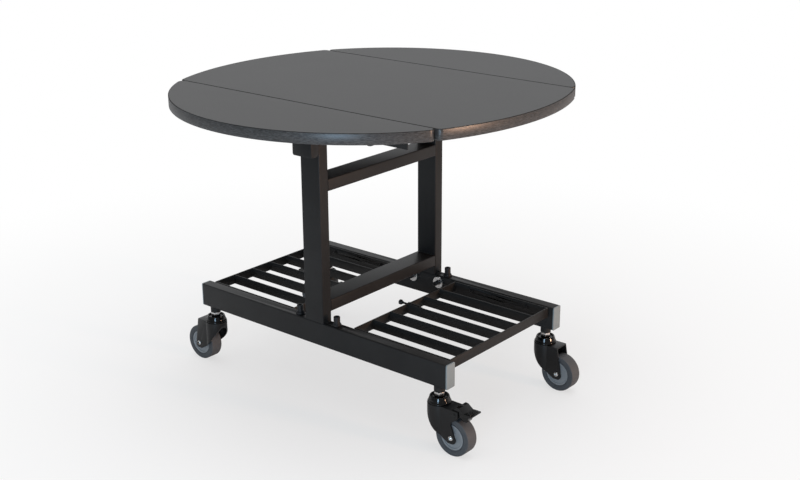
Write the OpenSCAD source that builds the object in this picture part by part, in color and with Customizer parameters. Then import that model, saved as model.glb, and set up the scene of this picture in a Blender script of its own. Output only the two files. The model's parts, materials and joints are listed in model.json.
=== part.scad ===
// Room service table: a drop-leaf top on a two-post steel frame, with two slatted
// trays between the rails and four swivel casters, two of them with foot brakes.
// Millimetres. X runs along the rails, Y across them, Z up from the floor.

/* [Top] */
// Height of the table surface above the floor
table_h = 762; // [730:1:800]
// Width of the top along the rails
top_w = 920; // [890:1:980]
// Length of the top across the rails, both leaves up
top_len = 1000; // [960:1:1080]
// Distance from a post's outer face to the leaf seam beyond it
seam_over = 28; // [26:1:40]
// Thickness of the three boards
board_t = 25; // [18:1:30]
// Radius of the curved ends of the centre board
end_arc_r = 625; // [560:5:760]
// Rounding of each board corner at a leaf seam
corner_r = 12; // [6:1:18]
// Thickness of the edge band
band_t = 2; // [1:0.5:3]
// Open seam between the centre board and a leaf
seam = 1; // [0.6:0.1:2]

/* [Steel frame] */
// Length of each rail with its end caps
rail_len = 810; // [780:1:850]
// Distance between the centre planes of the two rails
gauge = 434; // [420:1:444]
// Larger side of the rectangular tube
tube_h = 60; // [50:1:66]
// Smaller side of the rectangular tube
tube_w = 30; // [25:1:36]
// Wall of the rectangular tube
tube_wall = 2; // [1.5:0.25:3]
// Outside corner radius of the rectangular tube
tube_r = 3; // [2:0.5:4]
// Gap between the rail tops and the lower crossbar
lower_bar_gap = 24.5; // [10:0.5:60]
// Height of the upper crossbar's underside above the floor
upper_bar_z = 544; // [480:1:600]
// Thickness of a rail end cap's face
cap_t = 3; // [2:0.5:5]

/* [Under the top] */
// Length of each angle bar under the top
angle_len = 626; // [560:2:700]
// Height of the angle bar's upright flange
angle_h = 35; // [25:1:45]
// Width of the angle bar's flat flange
angle_w = 40; // [34:1:60]
// Thickness of the angle bars and of the post brackets
angle_t = 3; // [2:0.5:4]
// Height of a post bracket below the angle bar
bracket_h = 68; // [40:1:90]
// Distance of each leaf hinge from the middle of the table
hinge_x = 206; // [150:1:270]
// Width of a leaf hinge
hinge_w = 50; // [40:1:60]

/* [Trays] */
// Half of the open well between the two trays
well_half = 100; // [90:1:120]
// Distance from a rail's end to its tray's outer bar
tray_end = 15; // [10:1:25]
// Gap between a tray and each rail
tray_gap = 3; // [2:0.5:6]
// Thickness of the tray's flat bars
bar_t = 3; // [2.5:0.5:5]
// Height of the tray's flat bars
bar_h = 25; // [20:1:30]
// Depth of the tray's top edge below the rail tops
tray_drop = 1; // [0:0.5:6]
// Number of slats in a tray
slats = 5; // [3:1:7]

/* [Pegs, studs and latches] */
// Height of a rail peg above its rail
peg_h = 24; // [18:1:30]
// Diameter of a rail peg's barrel
peg_d = 16; // [13:0.5:18]
// Bore of a rail peg
peg_bore = 10; // [8:0.5:11]
// Length of a well stud, from the rail's face
stud_len = 20; // [14:1:26]
// Diameter of a well stud
stud_d = 12; // [10:0.5:16]
// Diameter of the bright washer on a well stud
washer_d = 31; // [24:1:34]
// Thickness of the bright washer
washer_t = 5; // [3:0.5:8]
// Travel of a latch plunger when its knob is pulled
latch_travel = 8; // [4:0.5:10]
// Diameter of a latch knob
knob_d = 13; // [11:0.5:16]

/* [Casters] */
// Diameter of a wheel
wheel_d = 92; // [80:1:94]
// Width of a tyre
wheel_w = 33; // [28:1:34]
// Distance from the swivel axis back to the wheel's axle
trail = 48.5; // [42:0.5:50]
// Distance from a rail's end to the caster's swivel axis
caster_end = 31.5; // [28:0.5:60]
// Diameter of the threaded stem
stem_d = 12; // [10:0.5:13]
// Length of the round socket under the rail
socket_h = 15; // [10:1:25]
// Diameter of the round socket
socket_d = 26; // [22:1:28]
// Thickness of the fork's steel
fork_t = 3; // [2.5:0.25:4]
// Diameter of the wheel's axle bolt
axle_d = 8; // [6:0.5:10]

/* [Hidden] */
$fn = 96;

fit = 0.05;                                  // radial clearance of a pin or rod in its bore
rest_gap = 0.3;                              // clearance between faces that slide past
eps = 0.01;

// Caster, from the floor up
axle_z = wheel_d/2;
hood_gap = 21;                               // air between the tyre and the fork's crown
crown_z = wheel_d + hood_gap;                // underside of the fork's crown
crown_top = crown_z + fork_t;
head_h = 17.5;
nut_h = 9;
nut_af = 22;
nut_z = crown_top + head_h;
socket_z = nut_z + nut_h;
rail_z = socket_z + socket_h;                // underside of the rails
rail_top = rail_z + tube_h;
stem_x = rail_len/2 - caster_end;
fork_in = wheel_w/2 + 1.5;                   // half of the fork's inside width
fork_out = fork_in + fork_t;
crown_r = 28;
hub_r = wheel_d/2 - 15;

// Frame
rail_y = gauge/2;
inner_y = rail_y - tube_w/2;
outer_y = rail_y + tube_w/2;
lower_bar_z = rail_top + lower_bar_gap;
board_z = table_h - board_t;                 // underside of the boards
post_top = board_z - angle_t;
panel_w = 2*(outer_y + seam_over);           // width of the centre board, seam to seam
hinge_y = panel_w/2;
hinge_drop = 4;                              // hinge axis below the boards
hinge_z = board_z - hinge_drop;
angle_face = hinge_y - 4;                    // outer face of the angle bars
angle_z = board_z - angle_h;
bracket_z = angle_z - bracket_h;

// Top outline
panel_half = panel_w/2 - seam/2;
leaf_in = panel_w/2 + seam/2;
arc_shift = end_arc_r - top_w/2;             // how far an end arc's centre lies past the middle
function end_x(y) = sqrt(end_arc_r^2 - y^2) - arc_shift;
leaf_half = end_x(panel_w/2);                // half width of a leaf at its seam
leaf_rise = top_len/2 - panel_w/2;
leaf_r = (leaf_half^2 + leaf_rise^2)/(2*leaf_rise);
leaf_c = top_len/2 - leaf_r;

// Trays
tray_top = rail_top - tray_drop;
tray_z = tray_top - bar_h;
tray_side = inner_y - tray_gap;              // outer face of the side bars
tray_out = rail_len/2 - tray_end;            // outer face of the outer bar
slat_pitch = (2*tray_side - bar_t)/(slats + 1);
tray_screw_x = [well_half + 55, tray_out - 65];
screw_z = tray_z + bar_h/2;

// Pegs and studs
peg_x = tube_h/2 + 31;
stud_x = tube_h/2 + 13;
stud_z = rail_top - 17.5;

// Latch, along X through the inner bar
latch_y = bar_t/2 + 7.5;
latch_z = tray_top - 5.5;
barrel_d = 11;
barrel_len = 30;
rod_d = 5;
rod_tip = 8;                                 // how far the plunger's tip stands out of its barrel
knob_len = 12;
knob_x = well_half - 20;                     // face of the knob that is nearer the bar
chamber_d = 9;
barrel_end = 5;                              // wall at each end of the chamber
collar_t = 3;

module mirror_x(s) { if (s < 0) mirror([1, 0, 0]) children(); else children(); }
module mirror_y(s) { if (s < 0) mirror([0, 1, 0]) children(); else children(); }
module at_corners(x, y) {
    for (sx = [-1, 1], sy = [-1, 1]) mirror_x(sx) mirror_y(sy) translate([x, y, 0]) children();
}

// ---------- shared shapes ----------

module rounded_rect(w, h, r) {
    square([w - 2*r, h], center = true);
    square([w, h - 2*r], center = true);
    for (x = [-1, 1], y = [-1, 1]) translate([x*(w/2 - r), y*(h/2 - r)]) circle(r);
}

// Rectangular tube along Z, hollow right through
module tube(w, h, len) {
    linear_extrude(len) difference() {
        rounded_rect(w, h, tube_r);
        rounded_rect(w - 2*tube_wall, h - 2*tube_wall, max(tube_r - tube_wall, 0.5));
    }
}

// Cylinder along Y from y0 to y1
module cyl_y(r, y0, y1) { translate([0, y1, 0]) rotate([90, 0, 0]) cylinder(r = r, h = y1 - y0); }
module cyl_x(r, x0, x1) { translate([x0, 0, 0]) rotate([0, 90, 0]) cylinder(r = r, h = x1 - x0); }

module hex_prism(af, h) { cylinder(d = af/cos(30), h = h, $fn = 6); }

// ---------- top ----------

// A board's corner at a seam. c is the rounding's centre, out the way from it to the end
// arc, and side is +1 where the board lies above its seam.
corner_steps = 12;
function corner_at(big, big_r, line_y, side, r) =
    let (cy = line_y + side*r) [big[0] + sqrt((big_r - r)^2 - (cy - big[1])^2), cy];

// The waste outside the rounding, which is cut off the board
module corner_waste(c, out, side, r) {
    from = -90*side;
    to = atan2(out[1], out[0]);
    round = [for (i = [0 : corner_steps])
        let (a = from + (to - from)*i/corner_steps, edge = i == 0 || i == corner_steps)
        c + (edge ? r + 0.02 : r)*[cos(a), sin(a)]];
    polygon(concat([c + (r + 1)*[0, -side]], round, [c + (r + 1)*out, c + [3*r, -side*(r + 1)]]));
}

// Centre board's outline, drawn in by inset
module panel_2d(inset = 0) {
    r = end_arc_r - inset;
    half = panel_half - inset;
    round_r = corner_r - inset;
    c = corner_at([-arc_shift, 0], r, half, -1, round_r);
    out = (c + [arc_shift, 0])/(r - round_r);
    difference() {
        intersection() {
            translate([-arc_shift, 0]) circle(r, $fn = 360);
            translate([arc_shift, 0]) rotate(180) circle(r, $fn = 360);
            square([2*top_w, 2*half], center = true);
        }
        for (s = [-1, 1], t = [-1, 1]) mirror_x(s) mirror_y(t) corner_waste(c, out, -1, round_r);
    }
}

// Far leaf's outline, drawn in by inset
module leaf_2d(inset = 0) {
    r = leaf_r - inset;
    line_y = leaf_in + inset;
    round_r = corner_r - inset;
    c = corner_at([0, leaf_c], r, line_y, 1, round_r);
    out = (c - [0, leaf_c])/(r - round_r);
    difference() {
        intersection() {
            translate([0, leaf_c]) rotate(-90) circle(r, $fn = 360);
            translate([-top_w, line_y]) square([2*top_w, top_len]);
        }
        for (s = [-1, 1]) mirror_x(s) corner_waste(c, out, 1, round_r);
    }
}

module centre_board() {
    color("dimgray") translate([0, 0, board_z]) linear_extrude(board_t) panel_2d(band_t);
}

module centre_edge_band() {
    color("slategray") translate([0, 0, board_z]) linear_extrude(board_t)
        difference() { panel_2d(); panel_2d(band_t); }
}

module leaf_board(side) {
    color("dimgray") mirror_y(side) translate([0, 0, board_z]) linear_extrude(board_t) leaf_2d(band_t);
}

module leaf_band(side) {
    color("slategray") mirror_y(side) translate([0, 0, board_z]) linear_extrude(board_t)
        difference() { leaf_2d(); leaf_2d(band_t); }
}

// ---------- hinges of the leaves ----------

knuckle_r = 3.5;
hinge_pin_r = 1.75;
plate_t = 2;
middle_knuckle = hinge_w/3;
plate_low = 8.5;                             // how far the fixed plate hangs below the angle bar
leaf_plate_len = 34;

module knuckle(x0, x1) {
    translate([0, hinge_y, hinge_z]) cyl_x(knuckle_r, x0, x1);
}

// Upright plate on the angle bar's outer face, with a round lower end and the middle knuckle
module hinge_fixed_plate() {
    round_z = angle_z - plate_low + hinge_w/2;
    plate_top = hinge_z - knuckle_r - 2;
    difference() {
        union() {
            translate([0, angle_face + plate_t, 0]) rotate([90, 0, 0]) linear_extrude(plate_t) {
                difference() {
                    translate([0, round_z]) rotate(-90) circle(d = hinge_w);
                    translate([-hinge_w, round_z - 1]) square([2*hinge_w, hinge_w]);
                }
                translate([-hinge_w/2, round_z - 1]) square([hinge_w, plate_top - round_z + 1]);
                translate([-middle_knuckle/2, plate_top - 1]) square([middle_knuckle, hinge_z - plate_top]);
            }
            knuckle(-middle_knuckle/2, middle_knuckle/2);
        }
        translate([0, hinge_y, hinge_z]) cyl_x(hinge_pin_r + fit, -hinge_w, hinge_w);
    }
}

// Flat plate under the leaf, with the two outer knuckles
module hinge_leaf_plate() {
    knuckle_x0 = middle_knuckle/2 + rest_gap;
    difference() {
        union() {
            for (s = [-1, 1]) mirror_x(s) {
                knuckle(knuckle_x0, hinge_w/2);
                translate([knuckle_x0, hinge_y + seam/2, hinge_z])
                    cube([hinge_w/2 - knuckle_x0, knuckle_r, hinge_drop]);
            }
            translate([-hinge_w/2, hinge_y + knuckle_r + 1, board_z - plate_t])
                cube([hinge_w, leaf_plate_len, plate_t]);
            for (s = [-1, 1]) mirror_x(s) translate([knuckle_x0, hinge_y + knuckle_r, board_z - plate_t])
                cube([hinge_w/2 - knuckle_x0, 1 + eps, plate_t]);
        }
        translate([0, hinge_y, hinge_z]) cyl_x(hinge_pin_r + fit, -hinge_w, hinge_w);
    }
}

module hinge_fixed_plates() {
    color("darkslategray") for (sx = [-1, 1], sy = [-1, 1])
        mirror_y(sy) translate([sx*hinge_x, 0, 0]) hinge_fixed_plate();
}

module hinge_pins() {
    color("silver") for (sx = [-1, 1], sy = [-1, 1])
        mirror_y(sy) translate([sx*hinge_x, hinge_y, hinge_z]) cyl_x(hinge_pin_r, -hinge_w/2, hinge_w/2);
}

module leaf_hinge_plates(side) {
    color("darkslategray") for (sx = [-1, 1])
        mirror_y(side) translate([sx*hinge_x, 0, 0]) hinge_leaf_plate();
}

// ---------- steel frame ----------

rail_screw_x = [for (sx = [-1, 1], x = tray_screw_x) sx*x];

module rail() {
    half = rail_len/2 - cap_t;
    color("darkslategray") difference() {
        translate([-half, rail_y, rail_z + tube_h/2]) rotate([90, 0, 90]) tube(tube_w, tube_h, 2*half);
        for (s = [-1, 1]) {
            translate([s*stem_x, rail_y, rail_z - 1]) cylinder(d = stem_d + 2*fit, h = tube_wall + 2);
            translate([s*peg_x, rail_y, rail_top - tube_wall - 1])
                cylinder(r = peg_shank_r + fit, h = tube_wall + 2);
            translate([s*stud_x, 0, stud_z])
                cyl_y(stud_shank_r + fit, inner_y - 1, inner_y + tube_wall + 1);
        }
        for (x = rail_screw_x)
            translate([x, 0, screw_z]) cyl_y(screw_r + fit, inner_y - 1, inner_y + tube_wall + 1);
    }
}

module post() {
    color("darkslategray") translate([0, rail_y, rail_top]) tube(tube_h, tube_w, post_top - rail_top);
}

module crossbar(z) {
    color("darkslategray") translate([0, inner_y, z + tube_w/2]) rotate([90, 0, 0])
        tube(tube_h, tube_w, 2*inner_y);
}

// Pressed channel on a post's outer face: a front plate and two side flanges whose
// lower back corners are rounded
module top_bracket() {
    corner = 10;
    depth = angle_face - angle_t - outer_y;
    top = board_z - angle_t;
    front_r = 5;
    for (s = [-1, 1]) mirror_x(s) translate([tube_h/2 - angle_t, 0, 0]) rotate([90, 0, 90])
        linear_extrude(angle_t) difference() {
            translate([outer_y, bracket_z]) square([depth, top - bracket_z]);
            translate([outer_y - eps, bracket_z - eps]) difference() {
                square(corner);
                translate([corner, corner]) circle(corner);
            }
        }
    translate([0, angle_face, 0]) rotate([90, 0, 0]) linear_extrude(angle_t) {
        translate([-tube_h/2, bracket_z + front_r]) square([tube_h, angle_z - bracket_z - front_r]);
        translate([-tube_h/2 + front_r, bracket_z]) square([tube_h - 2*front_r, front_r + eps]);
        for (s = [-1, 1]) translate([s*(tube_h/2 - front_r), bracket_z + front_r]) circle(front_r);
    }
}

module top_brackets() { color("darkslategray") for (s = [-1, 1]) mirror_y(s) top_bracket(); }

module top_angle() {
    translate([-angle_len/2, 0, 0]) {
        translate([0, angle_face - angle_t, angle_z]) cube([angle_len, angle_t, angle_h]);
        translate([0, angle_face - angle_w, board_z - angle_t]) cube([angle_len, angle_w, angle_t]);
    }
}

module top_angles() { color("darkslategray") for (s = [-1, 1]) mirror_y(s) top_angle(); }

// Plastic insert: a face that closes the tube's end, and a hollow plug inside it
module rail_end_cap() {
    plug_w = tube_w - 2*tube_wall - 0.4;
    plug_h = tube_h - 2*tube_wall - 0.4;
    plug = 14;
    translate([rail_len/2 - cap_t, rail_y, rail_z + tube_h/2]) rotate([90, 0, 90]) {
        linear_extrude(cap_t) rounded_rect(tube_w, tube_h, tube_r);
        translate([0, 0, -plug]) linear_extrude(plug + eps) difference() {
            rounded_rect(plug_w, plug_h, 1.5);
            rounded_rect(plug_w - 4, plug_h - 4, 1);
        }
    }
}

module rail_end_caps() {
    color("gray") for (sx = [-1, 1], sy = [-1, 1]) mirror_x(sx) mirror_y(sy) rail_end_cap();
}

// ---------- pegs and studs on the rails ----------

peg_shank_r = 4;
stud_shank_r = 4;

// Hollow peg: flared foot, straight barrel, blind bore from above
module rail_peg() {
    foot_d = 22;
    foot_h = 4;
    flare_h = 9;
    bore_depth = peg_h - 8;
    color("black") translate([0, 0, rail_top]) rotate_extrude() difference() {
        polygon([[0, -tube_wall - 6], [peg_shank_r, -tube_wall - 6], [peg_shank_r, 0], [foot_d/2, 0],
                 [foot_d/2, foot_h], [peg_d/2, flare_h], [peg_d/2, peg_h - 1],
                 [peg_d/2 - 1, peg_h], [0, peg_h]]);
        translate([0, peg_h - bore_depth]) square([peg_bore/2, bore_depth + 1]);
    }
}

module rail_pegs() { at_corners(peg_x, rail_y) rail_peg(); }

// Stud with a smaller shank in the rail's wall and a hexagon socket in its end
module well_stud() {
    socket_af = 5;
    socket_deep = 6;
    translate([0, 0, stud_z]) difference() {
        union() {
            cyl_y(stud_d/2, inner_y - stud_len + 1, inner_y);
            cyl_y(stud_d/2 - 1, inner_y - stud_len, inner_y);
            cyl_y(stud_shank_r, inner_y - eps, inner_y + tube_wall + 8);
        }
        translate([0, inner_y - stud_len + socket_deep, 0]) rotate([90, 0, 0])
            hex_prism(socket_af, socket_deep + 1);
    }
}

module well_studs() { color("black") at_corners(stud_x, 0) well_stud(); }

module stud_washers() {
    color("silver") at_corners(stud_x, 0) translate([0, 0, stud_z]) difference() {
        cyl_y(washer_d/2, inner_y - washer_t, inner_y);
        cyl_y(stud_d/2 + fit, inner_y - washer_t - 1, inner_y + 1);
    }
}

// ---------- trays ----------

screw_r = 3;
spacer_r = 7;
latch_neck_r = 4.5;

// Welded tray of flat bars on edge: two side bars, two end bars and the slats between them
module tray(side) {
    inner_x = well_half + bar_t;
    outer_x = tray_out - bar_t;
    color("darkslategray") mirror_x(side) {
        for (s = [-1, 1]) mirror_y(s) difference() {
            translate([well_half, tray_side - bar_t, tray_z]) cube([tray_out - well_half, bar_t, bar_h]);
            for (x = tray_screw_x) translate([x, 0, screw_z])
                cyl_y(screw_r + fit, tray_side - bar_t - 1, tray_side + 1);
        }
        difference() {
            translate([well_half, bar_t - tray_side, tray_z]) cube([bar_t, 2*(tray_side - bar_t), bar_h]);
            translate([0, latch_y, latch_z]) cyl_x(latch_neck_r + fit, well_half - 1, inner_x + 1);
        }
        translate([outer_x, bar_t - tray_side, tray_z]) cube([bar_t, 2*(tray_side - bar_t), bar_h]);
        for (i = [1 : slats]) translate([inner_x, -tray_side + i*slat_pitch, tray_z])
            cube([outer_x - inner_x, bar_t, bar_h]);
    }
}

module tray_spacers() {
    color("silver") for (x = tray_screw_x) at_corners(x, 0) translate([0, 0, screw_z]) difference() {
        cyl_y(spacer_r, tray_side, inner_y);
        cyl_y(screw_r + fit, tray_side - 1, inner_y + 1);
    }
}

// Button-head screw from inside the tray into the rail's wall
module tray_screw() {
    head_r = 5.5;
    head_t = 3.3;
    head_y = tray_side - bar_t;
    translate([0, 0, screw_z]) {
        cyl_y(screw_r, head_y - eps, inner_y + tube_wall + 4);
        difference() {
            translate([0, head_y, 0]) rotate([90, 0, 0]) rotate_extrude()
                polygon([[0, 0], [head_r, 0], [head_r, 1], [head_r - 1.2, head_t - 0.5],
                         [head_r - 2.8, head_t], [0, head_t]]);
            translate([0, head_y - head_t + 2, 0]) rotate([90, 0, 0]) hex_prism(4, 3);
        }
    }
}

module tray_screws() { color("black") for (x = tray_screw_x) at_corners(x, 0) tray_screw(); }

// ---------- spring latches ----------

// Barrel beside the middle slat: a neck through the inner bar, a flange nut on the well
// side, and a chamber for the spring
module latch_barrel() {
    x0 = well_half + bar_t;
    nut = 3;
    translate([0, latch_y, latch_z]) difference() {
        union() {
            cyl_x(barrel_d/2, x0, x0 + barrel_len);
            cyl_x(latch_neck_r, well_half - nut, x0 + eps);
            cyl_x(barrel_d/2 + 0.5, well_half - nut, well_half);
        }
        cyl_x(rod_d/2 + fit, well_half - nut - 1, x0 + barrel_len + 1);
        cyl_x(chamber_d/2, x0 + barrel_end, x0 + barrel_len - barrel_end);
    }
}

module latch_barrels() { color("black") for (s = [-1, 1]) mirror_x(s) latch_barrel(); }

// Plunger rod with its collar in the chamber and its knob in the well
module latch_plunger(side) {
    x0 = well_half + bar_t;
    chamber_end = x0 + barrel_len - barrel_end;
    color("black") mirror_x(side) translate([0, latch_y, latch_z]) {
        cyl_x(rod_d/2, knob_x - knob_len + 2, x0 + barrel_len + rod_tip);
        cyl_x(chamber_d/2 - 0.2, chamber_end - rest_gap - collar_t, chamber_end - rest_gap);
        translate([knob_x - knob_len, 0, 0]) rotate([0, 90, 0]) rotate_extrude()
            polygon([[0, 0], [knob_d/2 - 2, 0], [knob_d/2, 2], [knob_d/2, 6], [knob_d/2 - 1.5, 8.5],
                     [4, 10], [3.5, knob_len], [0, knob_len]]);
    }
}

// ---------- casters ----------

module caster_sockets() {
    color("darkslategray") at_corners(stem_x, rail_y) translate([0, 0, socket_z]) difference() {
        cylinder(d = socket_d, h = socket_h);
        translate([0, 0, -1]) cylinder(d = stem_d + 2*fit, h = socket_h + 2);
    }
}

module caster_nuts() {
    color("silver") at_corners(stem_x, rail_y) translate([0, 0, nut_z]) difference() {
        intersection() {
            hex_prism(nut_af, nut_h);
            rotate_extrude()
                polygon([[0, 0], [nut_af/2 - 0.5, 0], [nut_af/2 + 2.5, 2], [nut_af/2 + 2.5, nut_h - 2],
                         [nut_af/2 - 0.5, nut_h], [0, nut_h]]);
        }
        translate([0, 0, -1]) cylinder(d = stem_d + 2*fit, h = nut_h + 2);
    }
}

// Stem: screwed into the socket above, and the kingpin of the swivel below
module caster_stems() {
    flange_r = 10;
    flange_t = 5;
    color("silver") at_corners(stem_x, rail_y) {
        translate([0, 0, crown_z - rest_gap - flange_t]) cylinder(r = flange_r, h = flange_t);
        translate([0, 0, crown_z - rest_gap - eps])
            cylinder(d = stem_d, h = rail_z + tube_wall + 8 - crown_z);
    }
}

fork_arc_r = 137;                            // leading edge of a fork's cheeks
fork_tip_r = 9.5;

// Everything of one caster, drawn with its swivel axis on Z and its wheel towards +X
module fork_plan(out) {
    circle(crown_r + out - fork_out);
    translate([0, -out]) square([trail + 40, 2*out]);
}

module fork_profile(braked) {
    tip = [trail + 3.5, axle_z - 4.5];
    end_x = trail;
    plain_rear = [[end_x, crown_top]];
    braked_rear = [[pivot_x + 10, crown_top], [pivot_x + 10, pivot_z - 5.5],
                   [pivot_x + 7.5, pivot_z - 9.5], [end_x + 1, pivot_z - 21], [end_x - 1, pivot_z - 26]];
    intersection() {
        translate([trail + 52.5, crown_top + 39]) circle(fork_arc_r);
        polygon(concat([[-crown_r - 5, crown_top]], braked ? braked_rear : plain_rear,
                       [[tip[0] + fork_tip_r, tip[1]], tip, [tip[0], tip[1] - fork_tip_r],
                        [-crown_r - 5, tip[1] - fork_tip_r]]));
    }
    translate(tip) circle(fork_tip_r);
}

// Pressed fork: a crown with a skirt round its front and two cheeks down to the axle, whose
// leading edges carry on from the skirt's. A braked fork's cheeks reach further back, and
// its crown stops short of the pedal.
module fork(braked) {
    color("black") difference() {
        intersection() {
            linear_extrude(crown_top) fork_plan(fork_out);
            translate([0, 2*crown_r, 0]) rotate([90, 0, 0]) linear_extrude(4*crown_r) fork_profile(braked);
        }
        translate([0, 0, -1]) linear_extrude(crown_z + 1) fork_plan(fork_in);
        translate([0, 0, crown_z - 1]) cylinder(d = stem_d + 2*fit, h = fork_t + 2);
        translate([trail, 0, axle_z]) cyl_y(axle_d/2 + fit, -2*crown_r, 2*crown_r);
        if (braked) {
            translate([trail, -fork_in, crown_z - 1]) cube([trail, 2*fork_in, fork_t + 2]);
            translate([pivot_x, 0, pivot_z]) cyl_y(pivot_r + fit, -2*crown_r, 2*crown_r);
        }
    }
}

// Swivel head: the ball race's cover, with a dished top round the nut
module head() {
    top = head_h - rest_gap;
    color("black") translate([0, 0, crown_top]) rotate_extrude()
        polygon([[stem_d/2 + fit, 0], [crown_r - 2, 0], [crown_r - 0.5, 1.5], [crown_r - 0.5, 3.5],
                 [crown_r - 2.5, 6], [crown_r - 3.5, 10], [crown_r - 4.5, 13],
                 [crown_r - 5.5, top - 1], [crown_r - 7, top], [crown_r - 9, top - 1],
                 [crown_r - 10.5, top - 5], [crown_r - 14, top - 6],
                 [nut_af/2, top - 6], [nut_af/2, top], [stem_d/2 + fit, top]]);
}

module axle() {
    head_r = 6;
    head_t = 4;
    color("silver") translate([trail, 0, axle_z]) difference() {
        union() {
            cyl_y(axle_d/2, -fork_out - eps, fork_out + eps);
            translate([0, -fork_out, 0]) rotate([90, 0, 0]) rotate_extrude()
                polygon([[0, 0], [head_r, 0], [head_r, 1.2], [head_r - 1.3, head_t - 1],
                         [head_r - 2.6, head_t], [0, head_t]]);
            translate([0, fork_out + head_t, 0]) rotate([90, 0, 0]) hex_prism(12, head_t);
        }
        translate([0, -fork_out - 1.5, 0]) rotate([90, 0, 0]) hex_prism(5, head_t);
    }
}

module tyre() {
    shoulder = 2;
    half = wheel_w/2;
    bore = hub_r + fit;
    color("dimgray") translate([trail, 0, axle_z]) rotate([90, 0, 0]) rotate_extrude($fn = 180)
        difference() {
            union() {
                translate([bore, -half]) square([wheel_d/2 - shoulder - bore, wheel_w]);
                translate([bore, shoulder - half]) square([wheel_d/2 - bore, wheel_w - 2*shoulder]);
                for (s = [-1, 1]) translate([wheel_d/2 - shoulder, s*(half - shoulder)])
                    circle(shoulder, $fn = 48);
            }
            for (s = [-1, 1]) translate([hub_r + 2.5, s*half]) circle(0.9, $fn = 24);
        }
}

// Hub: dished disc with a raised boss, which runs on the axle
module hub() {
    half = wheel_w/2;
    bore = axle_d/2 + fit;
    boss_r = 9;
    boss_y = fork_in - rest_gap;
    rim = 4;
    dish = 3;
    color("slategray") translate([trail, 0, axle_z]) rotate([90, 0, 0]) rotate_extrude($fn = 180)
        polygon([[bore, -boss_y], [boss_r, -boss_y], [boss_r + 1, dish - half],
                 [hub_r - rim - 1, dish - half], [hub_r - rim, 0.5 - half], [hub_r, 0.5 - half],
                 [hub_r, half - 0.5], [hub_r - rim, half - 0.5], [hub_r - rim - 1, half - dish],
                 [boss_r + 1, half - dish], [boss_r, boss_y], [bore, boss_y]]);
}

// Foot brake: a lever between the cheeks, with a ridge over its pivot, a flat tread
// behind that and a shoe above the tyre
pivot_x = trail + 8.5;
pivot_z = crown_z - 7;
pivot_r = 2.5;
shoe_w = 20;

module brake_pedal() {
    w = fork_in - rest_gap;
    color("black") translate([pivot_x, 0, pivot_z]) difference() {
        union() {
            translate([0, w, 0]) rotate([90, 0, 0]) linear_extrude(2*w) {
                polygon([[-7, -5], [-7, 4], [-4.5, 12.5], [4, 20], [11.5, 19.5], [25, 9.5],
                         [44.4, 10.3], [45.3, 5.9], [14, -3], [5, -8]]);
                translate([44.5, 8]) circle(2.5);
            }
            translate([0, shoe_w/2, 0]) rotate([90, 0, 0]) linear_extrude(shoe_w)
                polygon([[0, 0], [24, 6], [36, 6], [27, -14], [17, -13.3], [3, -7]]);
        }
        cyl_y(pivot_r + fit, -2*w, 2*w);
    }
}

module brake_pin() {
    color("silver") translate([pivot_x, 0, pivot_z]) {
        cyl_y(pivot_r, -fork_out, fork_out);
        for (s = [-1, 1]) mirror_y(s) cyl_y(pivot_r + 1.5, fork_out, fork_out + 1);
    }
}

// Puts one caster's piece at its corner: sx is -1 on the left, sy is -1 on the near side
module corner(sx, sy) { translate([sx*stem_x, sy*rail_y, 0]) mirror_x(sx) children(); }

// ---------- nodes ----------

mirror_y(-1) rail();  // near_rail
rail();  // far_rail
mirror_y(-1) post();  // near_post
post();  // far_post
crossbar(lower_bar_z);  // lower_crossbar
crossbar(upper_bar_z);  // upper_crossbar
top_brackets();
top_angles();
centre_board();
centre_edge_band();
rail_end_caps();
rail_pegs();
well_studs();
stud_washers();
tray(-1);  // left_tray
tray(1);  // right_tray
tray_spacers();
tray_screws();
latch_barrels();
latch_plunger(-1);  // left_latch_plunger
latch_plunger(1);  // right_latch_plunger
caster_sockets();
caster_nuts();
caster_stems();
hinge_fixed_plates();
hinge_pins();
leaf_board(-1);  // near_leaf_board
leaf_band(-1);  // near_leaf_band
leaf_hinge_plates(-1);  // near_leaf_hinge_plates
leaf_board(1);  // far_leaf_board
leaf_band(1);  // far_leaf_band
leaf_hinge_plates(1);  // far_leaf_hinge_plates
corner(-1, -1) fork(false);  // near_left_fork
corner(-1, -1) head();  // near_left_head
corner(-1, -1) axle();  // near_left_axle
corner(-1, -1) tyre();  // near_left_tyre
corner(-1, -1) hub();  // near_left_hub
corner(1, -1) fork(true);  // near_right_fork
corner(1, -1) head();  // near_right_head
corner(1, -1) axle();  // near_right_axle
corner(1, -1) tyre();  // near_right_tyre
corner(1, -1) hub();  // near_right_hub
corner(-1, 1) fork(true);  // far_left_fork
corner(-1, 1) head();  // far_left_head
corner(-1, 1) axle();  // far_left_axle
corner(-1, 1) tyre();  // far_left_tyre
corner(-1, 1) hub();  // far_left_hub
corner(1, 1) fork(false);  // far_right_fork
corner(1, 1) head();  // far_right_head
corner(1, 1) axle();  // far_right_axle
corner(1, 1) tyre();  // far_right_tyre
corner(1, 1) hub();  // far_right_hub
corner(1, -1) brake_pedal();  // near_right_brake_pedal
corner(1, -1) brake_pin();  // near_right_brake_pin
corner(-1, 1) brake_pedal();  // far_left_brake_pedal
corner(-1, 1) brake_pin();  // far_left_brake_pin
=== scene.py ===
# A room service table with two drop leaves, on casters. The steel frame, trays and
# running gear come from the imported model, and this script gives them their finishes.
import json
import math

import bpy
from mathutils import Matrix, Vector

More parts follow.
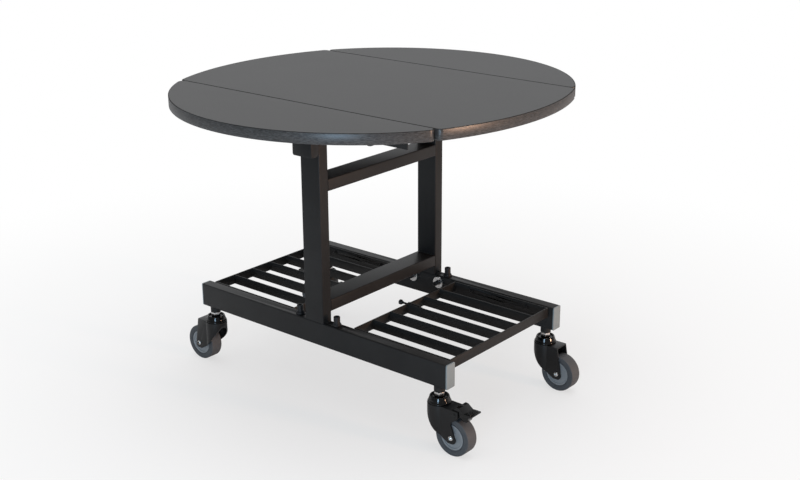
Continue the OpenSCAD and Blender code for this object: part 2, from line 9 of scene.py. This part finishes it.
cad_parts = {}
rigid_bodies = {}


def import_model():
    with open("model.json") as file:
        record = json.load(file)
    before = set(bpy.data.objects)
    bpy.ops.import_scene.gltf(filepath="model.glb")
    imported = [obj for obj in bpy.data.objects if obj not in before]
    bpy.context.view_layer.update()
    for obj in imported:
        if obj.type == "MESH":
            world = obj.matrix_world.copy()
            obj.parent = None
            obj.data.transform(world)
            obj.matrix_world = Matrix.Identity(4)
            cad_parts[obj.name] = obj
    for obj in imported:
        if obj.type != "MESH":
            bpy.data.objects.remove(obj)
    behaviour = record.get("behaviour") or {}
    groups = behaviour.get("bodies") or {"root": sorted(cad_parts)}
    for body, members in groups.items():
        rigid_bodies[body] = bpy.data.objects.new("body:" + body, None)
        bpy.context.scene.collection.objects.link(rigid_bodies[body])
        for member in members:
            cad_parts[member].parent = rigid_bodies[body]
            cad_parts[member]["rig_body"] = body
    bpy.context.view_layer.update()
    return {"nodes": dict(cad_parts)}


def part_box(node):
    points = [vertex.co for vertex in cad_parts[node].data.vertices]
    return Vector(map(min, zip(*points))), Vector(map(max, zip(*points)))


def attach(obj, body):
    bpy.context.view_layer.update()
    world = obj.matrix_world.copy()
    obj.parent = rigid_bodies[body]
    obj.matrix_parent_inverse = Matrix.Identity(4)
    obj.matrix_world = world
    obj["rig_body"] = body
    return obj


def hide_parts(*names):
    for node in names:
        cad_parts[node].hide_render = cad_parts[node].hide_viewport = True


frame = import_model()


# Camera: to the right of the table and in front of it, a little above the top,
# looking down the length of the rails. It is the photograph's own viewpoint.
bpy.ops.object.select_all(action="DESELECT")
bpy.ops.object.camera_add()
camera = bpy.context.object
look_right = Vector((0.76882, 0.63946, -0.00457))
look_up = Vector((-0.20571, 0.25407, 0.94506))
look_forward = Vector((-0.60548, 0.72563, -0.32687))
turn = Matrix((look_right, look_up, -look_forward)).transposed().to_4x4()
camera.matrix_world = Matrix.Translation((1.9137, -2.2000, 1.3713)) @ turn
camera.data.lens = 55.13
camera.data.sensor_width = 36
bpy.context.scene.camera = camera


# Studio: a pale floor that turns white away from the table, a white surround that is
# brightest behind it, a broad lamp overhead, a warm one off the rails' right end and a
# cool one in front.
scene = bpy.context.scene
scene.view_settings.view_transform = "Standard"


def new_material(name):
    """A new node material, laid out: its node tree, its main shader and its object coordinates."""
    material = bpy.data.materials.new(name)
    material.use_nodes = True
    tree = material.node_tree
    shader = tree.nodes["Principled BSDF"]
    place = tree.nodes.new("ShaderNodeTexCoord").outputs["Object"]
    return material, tree, shader, place


bpy.ops.mesh.primitive_plane_add(size=60)
floor = bpy.context.object
floor.name = "floor"
floor_paint, tree, shader, place = new_material("pale floor")
shader.inputs["Base Color"].default_value = (0.86, 0.86, 0.86, 1)
shader.inputs["Roughness"].default_value = 0.9
shader.inputs["Specular IOR Level"].default_value = 0.0
glow = tree.nodes.new("ShaderNodeEmission")
glow.inputs["Color"].default_value = (1, 1, 1, 1)
distance = tree.nodes.new("ShaderNodeVectorMath")
distance.operation = "LENGTH"
fade = tree.nodes.new("ShaderNodeMapRange")
fade.interpolation_type = "SMOOTHSTEP"
fade.inputs["From Min"].default_value = 0.3
fade.inputs["From Max"].default_value = 2.0
fade.inputs["To Min"].default_value = 0.61
seen = tree.nodes.new("ShaderNodeLightPath")
white = tree.nodes.new("ShaderNodeMath")
white.operation = "MULTIPLY"
blend = tree.nodes.new("ShaderNodeMixShader")
tree.links.new(place, distance.inputs[0])
tree.links.new(distance.outputs["Value"], fade.inputs["Value"])
tree.links.new(fade.outputs["Result"], white.inputs[0])
tree.links.new(seen.outputs["Is Camera Ray"], white.inputs[1])
tree.links.new(white.outputs["Value"], blend.inputs["Fac"])
tree.links.new(shader.outputs["BSDF"], blend.inputs[1])
tree.links.new(glow.outputs["Emission"], blend.inputs[2])
tree.links.new(blend.outputs["Shader"], tree.nodes["Material Output"].inputs["Surface"])
floor.data.materials.append(floor_paint)

world = bpy.data.worlds.new("white surround")
scene.world = world
world.use_nodes = True
sky = world.node_tree.nodes["Background"]
sky.inputs["Color"].default_value = (0.97, 0.98, 1.0, 1)
around = world.node_tree.nodes.new("ShaderNodeTexCoord")
behind = world.node_tree.nodes.new("ShaderNodeVectorMath")
behind.operation = "DOT_PRODUCT"
behind.inputs[1].default_value = (-0.60, 0.74, 0.30)
backdrop = world.node_tree.nodes.new("ShaderNodeMapRange")
backdrop.inputs["From Min"].default_value = 0.1
backdrop.inputs["From Max"].default_value = 0.9
backdrop.inputs["To Min"].default_value = 0.28
backdrop.inputs["To Max"].default_value = 0.85
seen = world.node_tree.nodes.new("ShaderNodeLightPath")
level = world.node_tree.nodes.new("ShaderNodeMath")
level.operation = "MAXIMUM"
world.node_tree.links.new(around.outputs["Generated"], behind.inputs[0])
world.node_tree.links.new(behind.outputs["Value"], backdrop.inputs["Value"])
world.node_tree.links.new(backdrop.outputs["Result"], level.inputs[0])
world.node_tree.links.new(seen.outputs["Is Camera Ray"], level.inputs[1])
world.node_tree.links.new(level.outputs["Value"], sky.inputs["Strength"])


def area_lamp(name, place, aim, size, power, colour):
    """A square soft lamp that points at a spot."""
    bpy.ops.object.light_add(type="AREA", location=place)
    lamp = bpy.context.object
    lamp.name = name
    lamp.data.shape = "SQUARE"
    lamp.data.size = size
    lamp.data.energy = power
    lamp.data.color = colour
    lamp.rotation_mode = "QUATERNION"
    lamp.rotation_quaternion = (Vector(aim) - Vector(place)).to_track_quat("-Z", "Y")
    return lamp


area_lamp("overhead lamp", (0.2, -0.3, 3.6), (0, 0, 0.4), 2.8, 61, (1, 1, 1))
area_lamp("warm right lamp", (5.8, 1.05, 0.95), (0, 0, 0.4), 0.5, 165, (1.0, 0.62, 0.42))
area_lamp("cool front lamp", (1.6, -3.1, 0.7), (0, 0, 0.4), 0.6, 31, (0.50, 0.75, 1.0))


# Rails, posts and crossbars: rectangular steel tube of 60 by 30 mm with rounded corners,
# cut square, welded, and powder coated in satin black with a fine orange peel.
def noise(tree, place, scale, detail=4.0, rough=0.55):
    """Noise on the object's own coordinates."""
    node = tree.nodes.new("ShaderNodeTexNoise")
    node.inputs["Scale"].default_value = scale
    node.inputs["Detail"].default_value = detail
    node.inputs["Roughness"].default_value = rough
    tree.links.new(place, node.inputs["Vector"])
    return node.outputs["Fac"]


def tone(tree, value, low, high, dark, light):
    """A colour that runs from dark to light as value runs from low to high."""
    ramp = tree.nodes.new("ShaderNodeValToRGB")
    ramp.color_ramp.elements[0].position = low
    ramp.color_ramp.elements[0].color = (*dark, 1)
    ramp.color_ramp.elements[1].position = high
    ramp.color_ramp.elements[1].color = (*light, 1)
    tree.links.new(value, ramp.inputs["Fac"])
    return ramp.outputs["Color"]


def grade(tree, value, low, high, start, end):
    """A number that runs from start to end as value runs from low to high."""
    node = tree.nodes.new("ShaderNodeMapRange")
    node.inputs["From Min"].default_value = low
    node.inputs["From Max"].default_value = high
    node.inputs["To Min"].default_value = start
    node.inputs["To Max"].default_value = end
    tree.links.new(value, node.inputs["Value"])
    return node.outputs["Result"]


def relief(tree, shader, height, strength, depth):
    """Raises the surface by height, through the shader's normal."""
    bump = tree.nodes.new("ShaderNodeBump")
    bump.inputs["Strength"].default_value = strength
    bump.inputs["Distance"].default_value = depth
    tree.links.new(height, bump.inputs["Height"])
    tree.links.new(bump.outputs["Normal"], shader.inputs["Normal"])


powder_coat, tree, shader, place = new_material("satin black powder coat")
drift = noise(tree, place, 9, 5)
tree.links.new(tone(tree, drift, 0.3, 0.7, (0.0148, 0.0145, 0.0143), (0.0204, 0.0200, 0.0197)),
               shader.inputs["Base Color"])
peel = noise(tree, place, 850, 2)
tree.links.new(grade(tree, peel, 0.3, 0.7, 0.40, 0.50), shader.inputs["Roughness"])
shader.inputs["Specular IOR Level"].default_value = 0.22
relief(tree, shader, peel, 0.12, 0.0002)


def dressed(node, name, material, edge, segments=2, angle=32, windows=False):
    """A piece with the shape of a CAD node, merged, with its sharp edges broken. A node
    with windows keeps its triangles, because a face can't go round a window."""
    bpy.ops.object.select_all(action="DESELECT")
    cad = frame["nodes"][node]
    piece = bpy.data.objects.new(name, cad.data.copy())
    scene.collection.objects.link(piece)
    bpy.context.view_layer.objects.active = piece
    piece.select_set(True)
    bpy.ops.object.mode_set(mode="EDIT")
    bpy.ops.mesh.select_all(action="SELECT")
    bpy.ops.mesh.remove_doubles(threshold=0.000002)
    if not windows:
        bpy.ops.mesh.dissolve_limited(angle_limit=math.radians(0.4))
    bpy.ops.mesh.select_all(action="SELECT")
    bpy.ops.mesh.normals_make_consistent(inside=False)
    bpy.ops.object.mode_set(mode="OBJECT")
    rounding = piece.modifiers.new("edges", "BEVEL")
    rounding.width = edge
    rounding.segments = segments
    rounding.limit_method = "ANGLE"
    rounding.angle_limit = math.radians(angle)
    rounding.miter_outer = "MITER_ARC"
    bpy.ops.object.modifier_apply(modifier="edges")
    bpy.ops.object.shade_smooth_by_angle(angle=math.radians(angle))
    piece.data.materials.clear()
    piece.data.materials.append(material)
    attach(piece, cad["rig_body"])
    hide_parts(node)
    return piece


for node in ("near_rail", "far_rail", "near_post", "far_post", "lower_crossbar", "upper_crossbar"):
    dressed(node, node + "_coated", powder_coat, 0.0003)


# Welds: each joint of the frame and of the trays has a rippled bead, laid in the
# corner and coated over with the rest.
def weld_bead(start, end, radius):
    """A bead between two points: a small octagon, extruded step by step and swollen in turn."""
    bpy.ops.object.select_all(action="DESELECT")
    run = Vector(end) - Vector(start)
    ripple = 0.0026
    steps = max(4, round(run.length / ripple))
    facing = run.to_track_quat("Z", "Y").to_euler()
    bpy.ops.mesh.primitive_circle_add(vertices=8, radius=radius * 0.6, fill_type="NGON",
                                      location=start, rotation=facing)
    bead = bpy.context.object
    bpy.ops.object.transform_apply(location=True, rotation=True, scale=True)
    bpy.ops.object.mode_set(mode="EDIT")
    bpy.ops.mesh.select_all(action="SELECT")
    for step in range(1, steps + 1):
        bpy.ops.mesh.extrude_region_move(TRANSFORM_OT_translate={"value": run / steps})
        swell = 0.84 if step % 2 else 1.19
        if step == 1:
            swell = 1.5
        elif step == steps:
            swell = 0.6
        bpy.ops.transform.resize(value=(swell,) * 3,
                                 center_override=Vector(start) + run * step / steps)
    bpy.ops.mesh.select_all(action="SELECT")
    bpy.ops.mesh.normals_make_consistent(inside=False)
    bpy.ops.object.mode_set(mode="OBJECT")
    bpy.ops.object.shade_smooth_by_angle(angle=math.radians(60))
    return bead


def joined(parts, name, material, body):
    """Several made parts as one piece, in place, with its material and its body."""
    bpy.ops.object.select_all(action="DESELECT")
    for part in parts:
        part.select_set(True)
    bpy.context.view_layer.objects.active = parts[0]
    if len(parts) > 1:
        bpy.ops.object.join()
    piece = bpy.context.object
    bpy.ops.object.transform_apply(location=True, rotation=True, scale=True)
    piece.name = name
    piece.data.materials.clear()
    piece.data.materials.append(material)
    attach(piece, body)
    return piece


beads = []
for bar in ("lower_crossbar", "upper_crossbar"):
    low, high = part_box(bar)
    for y in (low.y, high.y):
        for z in (low.z, high.z):
            beads.append(weld_bead((low.x + 0.004, y, z), (high.x - 0.004, y, z), 0.0020))
for post in ("near_post", "far_post"):
    low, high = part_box(post)
    for x in (low.x, high.x):
        beads.append(weld_bead((x, low.y + 0.004, low.z), (x, high.y - 0.004, low.z), 0.0020))
joined(beads, "frame_welds", powder_coat, "frame")


# Brackets and angle bars under the top: 3 mm steel, pressed and cut, with broken edges.
# The brackets are welded to the posts, and the boards are screwed down through the angles.
for node in ("top_brackets", "top_angles", "hinge_fixed_plates",
             "near_leaf_hinge_plates", "far_leaf_hinge_plates"):
    dressed(node, node + "_coated", powder_coat, 0.0004)


# Trays: flat steel bar of 25 by 3 mm on edge, welded into two grilles that lie between
# the rails on short spacers, and coated like the frame.
for node in ("left_tray", "right_tray"):
    dressed(node, node + "_coated", powder_coat, 0.0004, windows=True)
    low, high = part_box(node)
    bar, gaps = 0.003, 6
    pitch = (high.y - low.y - bar) / gaps
    beads = []
    for slat in range(1, gaps):
        for x in (low.x + bar, high.x - bar):
            for y in (low.y + slat * pitch, low.y + slat * pitch + bar):
                beads.append(weld_bead((x, y, low.z + 0.003), (x, y, high.z - 0.005), 0.0013))
    joined(beads, node + "_welds", powder_coat, "frame")


# Boards: chipboard cut to the outline of the top and faced with a grey laminate that has
# a faint, dusty fleck. They are screwed on from below.
laminate, tree, shader, place = new_material("grey laminate")
fleck = noise(tree, place, 520, 5, 0.75)
cloud = noise(tree, place, 5, 4)
mix = tree.nodes.new("ShaderNodeMath")
mix.operation = "MULTIPLY_ADD"
mix.inputs[1].default_value = 0.35
tree.links.new(cloud, mix.inputs[0])
tree.links.new(fleck, mix.inputs[2])
tree.links.new(tone(tree, mix.outputs["Value"], 0.45, 0.9,
                    (0.0235, 0.0235, 0.023), (0.0375, 0.0375, 0.0364)),
               shader.inputs["Base Color"])
tree.links.new(grade(tree, fleck, 0.3, 0.7, 0.42, 0.50), shader.inputs["Roughness"])
shader.inputs["Specular IOR Level"].default_value = 0.36
relief(tree, shader, fleck, 0.12, 0.0001)
for node in ("centre_board", "near_leaf_board", "far_leaf_board"):
    frame["nodes"][node].data.materials.clear()
    frame["nodes"][node].data.materials.append(laminate)


# Edge bands: 2 mm plastic, printed with fine dark streaks along the edge, glued round
# each board and trimmed. The thin dark line along their top edge is painted shade, for the seam
# with the board.
band_plastic, tree, shader, place = new_material("streaked edge band")
stretch = tree.nodes.new("ShaderNodeMapping")
stretch.inputs["Scale"].default_value = (110, 110, 900)
tree.links.new(place, stretch.inputs["Vector"])
streak = noise(tree, stretch.outputs["Vector"], 1, 4, 0.7)
height = tree.nodes.new("ShaderNodeSeparateXYZ")
tree.links.new(place, height.inputs["Vector"])
rim_starts, rim_full = 0.7606, 0.7612
# Painted shade: from rim_starts up, the band's colour is mixed to near black, standing in for the
# shade of the seam where band and board meet.
painted_rim_shade = tree.nodes.new("ShaderNodeMixRGB")
painted_rim_shade.inputs["Color2"].default_value = (0.008, 0.008, 0.008, 1)
tree.links.new(grade(tree, height.outputs["Z"], rim_starts, rim_full, 0.0, 1.0),
               painted_rim_shade.inputs["Fac"])
tree.links.new(tone(tree, streak, 0.36, 0.64, (0.010, 0.010, 0.010), (0.088, 0.087, 0.086)),
               painted_rim_shade.inputs["Color1"])
tree.links.new(painted_rim_shade.outputs["Color"], shader.inputs["Base Color"])
dull = tree.nodes.new("ShaderNodeMath")
dull.operation = "MAXIMUM"
tree.links.new(grade(tree, streak, 0.3, 0.7, 0.28, 0.44), dull.inputs[0])
tree.links.new(grade(tree, height.outputs["Z"], rim_starts, rim_full, 0.0, 0.9), dull.inputs[1])
tree.links.new(dull.outputs["Value"], shader.inputs["Roughness"])
relief(tree, shader, streak, 0.3, 0.0002)
for node in ("centre_edge_band", "near_leaf_band", "far_leaf_band"):
    dressed(node, node + "_trimmed", band_plastic, 0.0005, 2, 40)


# Rail ends: light grey plastic inserts with a fine moulded grain, pushed into the open
# ends of the tubes.
cap_plastic, tree, shader, place = new_material("grey insert plastic")
grain = noise(tree, place, 1100, 2)
tree.links.new(tone(tree, grain, 0.3, 0.7, (0.219, 0.262, 0.278), (0.243, 0.291, 0.309)),
               shader.inputs["Base Color"])
shader.inputs["Roughness"].default_value = 0.55
relief(tree, shader, grain, 0.2, 0.0001)
dressed("rail_end_caps", "rail_end_caps_moulded", cap_plastic, 0.0006, 3)


# Pegs, studs, latches and tray screws: black moulded plastic and blackened screws. The
# pegs stand on the rails, and each latch sits in the inner bar of its tray.
black_plastic, tree, shader, place = new_material("black moulded plastic")
grain = noise(tree, place, 1500, 3)
tree.links.new(tone(tree, grain, 0.3, 0.7, (0.011, 0.011, 0.012), (0.017, 0.017, 0.018)),
               shader.inputs["Base Color"])
tree.links.new(grade(tree, grain, 0.3, 0.7, 0.34, 0.46), shader.inputs["Roughness"])
shader.inputs["Specular IOR Level"].default_value = 0.3
relief(tree, shader, grain, 0.12, 0.0001)
for node in ("rail_pegs", "well_studs", "tray_screws", "latch_barrels",
             "left_latch_plunger", "right_latch_plunger"):
    dressed(node, node + "_moulded", black_plastic, 0.0003, 2, 25)


# Wood screws: pan heads with a cross recess, blackened. They hold the hinge plates to
# the leaves and angles, and the centre board to the angles' flat flanges.
def turned(name, profile, steps=48):
    """A turned piece about Z: its outline is drawn point by point, then spun once round."""
    bpy.ops.object.select_all(action="DESELECT")
    bpy.ops.mesh.primitive_plane_add(size=0.01)
    piece = bpy.context.object
    piece.name = name
    bpy.ops.object.mode_set(mode="EDIT")
    bpy.ops.mesh.select_all(action="SELECT")
    bpy.ops.mesh.merge(type="CENTER")
    bpy.ops.transform.translate(value=(profile[0][0], 0, profile[0][1]))
    for here, there in zip(profile, profile[1:]):
        step = (there[0] - here[0], 0, there[1] - here[1])
        bpy.ops.mesh.extrude_region_move(TRANSFORM_OT_translate={"value": step})
    bpy.ops.mesh.select_all(action="SELECT")
    bpy.ops.mesh.spin(steps=steps, angle=math.tau, center=(0, 0, 0), axis=(0, 0, 1))
    bpy.ops.mesh.select_all(action="SELECT")
    bpy.ops.mesh.remove_doubles(threshold=0.000002)
    bpy.ops.mesh.normals_make_consistent(inside=False)
    bpy.ops.object.mode_set(mode="OBJECT")
    return piece


screw = turned("pan_head", ((0, -0.001), (0.0034, -0.001), (0.0036, 0), (0.0035, 0.0005),
                            (0.0028, 0.0011), (0.0016, 0.0014), (0, 0.0015)), 24)
for turn_z in (0, math.pi / 2):
    bpy.ops.mesh.primitive_cube_add(size=1, location=(0, 0, 0.0015), rotation=(0, 0, turn_z),
                                    scale=(0.0034, 0.0008, 0.0018))
    cutter = bpy.context.object
    recess = screw.modifiers.new("recess", "BOOLEAN")
    recess.operation = "DIFFERENCE"
    recess.object = cutter
    bpy.context.view_layer.objects.active = screw
    bpy.ops.object.modifier_apply(modifier="recess")
    bpy.data.objects.remove(cutter)
bpy.context.view_layer.objects.active = screw
bpy.ops.object.select_all(action="DESELECT")
screw.select_set(True)
bpy.ops.object.shade_smooth_by_angle(angle=math.radians(30))


def screw_row(name, places, facing, body):
    """One copy of the screw at each place, its head towards facing, all as one piece."""
    copies = []
    for spot in places:
        copy = screw.copy()
        copy.data = screw.data.copy()
        scene.collection.objects.link(copy)
        copy.rotation_mode = "QUATERNION"
        copy.rotation_quaternion = Vector(facing).to_track_quat("Z", "Y")
        copy.location = spot
        copies.append(copy)
    return joined(copies, name, black_plastic, body)


low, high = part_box("top_angles")
flange = high.z - 0.003
hinge_place = 0.206
for side, name in ((-1, "near"), (1, "far")):
    places = [(x, side * (high.y - 0.026), flange)
              for x in (-0.295, -0.150, -0.060, 0.060, 0.150, 0.295)]
    screw_row(name + "_board_screws", places, (0, 0, -1), "frame")
    plate_low, plate_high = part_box(name + "_leaf_hinge_plates")
    outer = plate_high.y if side > 0 else plate_low.y
    for hinge_x, hand in ((-hinge_place, "left"), (hinge_place, "right")):
        places = [(hinge_x + x, outer - side * y, plate_high.z - 0.002)
                  for x in (-0.016, 0.016) for y in (0.007, 0.024)]
        screw_row(f"{name}_{hand}_leaf_screws", places, (0, 0, -1), name + "_leaf")
        face = side * (high.y + 0.002)
        places = [(hinge_x + x, face, z)
                  for x, z in ((-0.016, 0.7185), (0.016, 0.7185), (0, 0.7030))]
        screw_row(f"{name}_{hand}_plate_screws", places, (0, side, 0), "frame")
bpy.data.objects.remove(screw)


# Bright fittings: zinc-plated steel nuts, stems, washers, spacers, pins and axle bolts.
# The sockets that take the stems are welded to the rails and coated with them.
zinc, tree, shader, place = new_material("bright zinc plate")
stain = noise(tree, place, 260, 4)
tree.links.new(tone(tree, stain, 0.3, 0.7, (0.60, 0.60, 0.59), (0.78, 0.78, 0.77)),
               shader.inputs["Base Color"])
shader.inputs["Metallic"].default_value = 1.0
tree.links.new(grade(tree, stain, 0.3, 0.7, 0.22, 0.36), shader.inputs["Roughness"])
for node in ("stud_washers", "tray_spacers", "caster_nuts", "caster_stems", "hinge_pins",
             "near_left_axle", "near_right_axle", "far_left_axle", "far_right_axle"):
    dressed(node, node + "_plated", zinc, 0.0003, 2, 25)
dressed("caster_sockets", "caster_sockets_coated", powder_coat, 0.0004, 2, 25)


# Casters: forks pressed from steel sheet under a polished swivel head, both in a glossier
# black than the frame. A grey rubber tyre is moulded on a plastic hub, and two of the
# four have a brake pedal on a pin.
caster_paint, tree, shader, place = new_material("semi-gloss black paint")
flow = noise(tree, place, 420, 3)
tree.links.new(tone(tree, flow, 0.3, 0.7, (0.0046, 0.0048, 0.0050), (0.0070, 0.0072, 0.0074)),
               shader.inputs["Base Color"])
tree.links.new(grade(tree, flow, 0.3, 0.7, 0.28, 0.38), shader.inputs["Roughness"])
shader.inputs["Specular IOR Level"].default_value = 0.38
relief(tree, shader, flow, 0.10, 0.0002)
head_gloss, tree, shader, place = new_material("polished black")
flow = noise(tree, place, 300, 3)
tree.links.new(tone(tree, flow, 0.3, 0.7, (0.003, 0.003, 0.003), (0.005, 0.005, 0.005)),
               shader.inputs["Base Color"])
tree.links.new(grade(tree, flow, 0.3, 0.7, 0.10, 0.16), shader.inputs["Roughness"])
shader.inputs["Specular IOR Level"].default_value = 0.35
tyre_rubber, tree, shader, place = new_material("grey tyre rubber")
mould = noise(tree, place, 900, 4)
tree.links.new(tone(tree, mould, 0.3, 0.7, (0.058, 0.064, 0.070), (0.079, 0.085, 0.092)),
               shader.inputs["Base Color"])
shader.inputs["Roughness"].default_value = 0.62
relief(tree, shader, mould, 0.25, 0.0002)
hub_plastic, tree, shader, place = new_material("grey hub plastic")
mould = noise(tree, place, 700, 3)
tree.links.new(tone(tree, mould, 0.3, 0.7, (0.244, 0.258, 0.268), (0.296, 0.310, 0.320)),
               shader.inputs["Base Color"])
shader.inputs["Roughness"].default_value = 0.42
relief(tree, shader, mould, 0.12, 0.0001)
for corner in ("near_left", "near_right", "far_left", "far_right"):
    dressed(corner + "_fork", corner + "_fork_painted", caster_paint, 0.0008, 3, 25)
    dressed(corner + "_head", corner + "_head_polished", head_gloss, 0.0012, 4, 20)
    dressed(corner + "_tyre", corner + "_tyre_moulded", tyre_rubber, 0.0003, 2, 30)
    dressed(corner + "_hub", corner + "_hub_moulded", hub_plastic, 0.0006, 2, 25)
for corner in ("near_right", "far_left"):
    dressed(corner + "_brake_pedal", corner + "_brake_pedal_painted", head_gloss,
            0.0009, 3, 25)
    dressed(corner + "_brake_pin", corner + "_brake_pin_painted", caster_paint,
            0.0003, 2, 25)


# Pedal treads: four raised ribs across each brake pedal, so that a shoe doesn't slip.
# They are pressed with the pedal and painted with it.
for corner, along in (("near_right", 1), ("far_left", -1)):
    low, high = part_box(corner + "_brake_pedal")
    tip = high.x if along > 0 else low.x
    width = high.y - low.y - 0.006
    ribs = []
    for step in range(4):
        x = tip - along * (0.0065 + 0.0042 * step)
        z = low.z + 0.0241 - 0.00017 * step
        bpy.ops.object.select_all(action="DESELECT")
        bpy.ops.mesh.primitive_cylinder_add(vertices=16, radius=0.0011, depth=width,
                                            location=(x, (low.y + high.y) / 2, z),
                                            rotation=(math.pi / 2, 0, 0))
        rib = bpy.context.object
        rounding = rib.modifiers.new("ends", "BEVEL")
        rounding.width = 0.0006
        rounding.segments = 2
        bpy.ops.object.modifier_apply(modifier="ends")
        bpy.ops.object.shade_smooth_by_angle(angle=math.radians(30))
        ribs.append(rib)
    joined(ribs, corner + "_pedal_ribs", caster_paint, corner + "_brake")
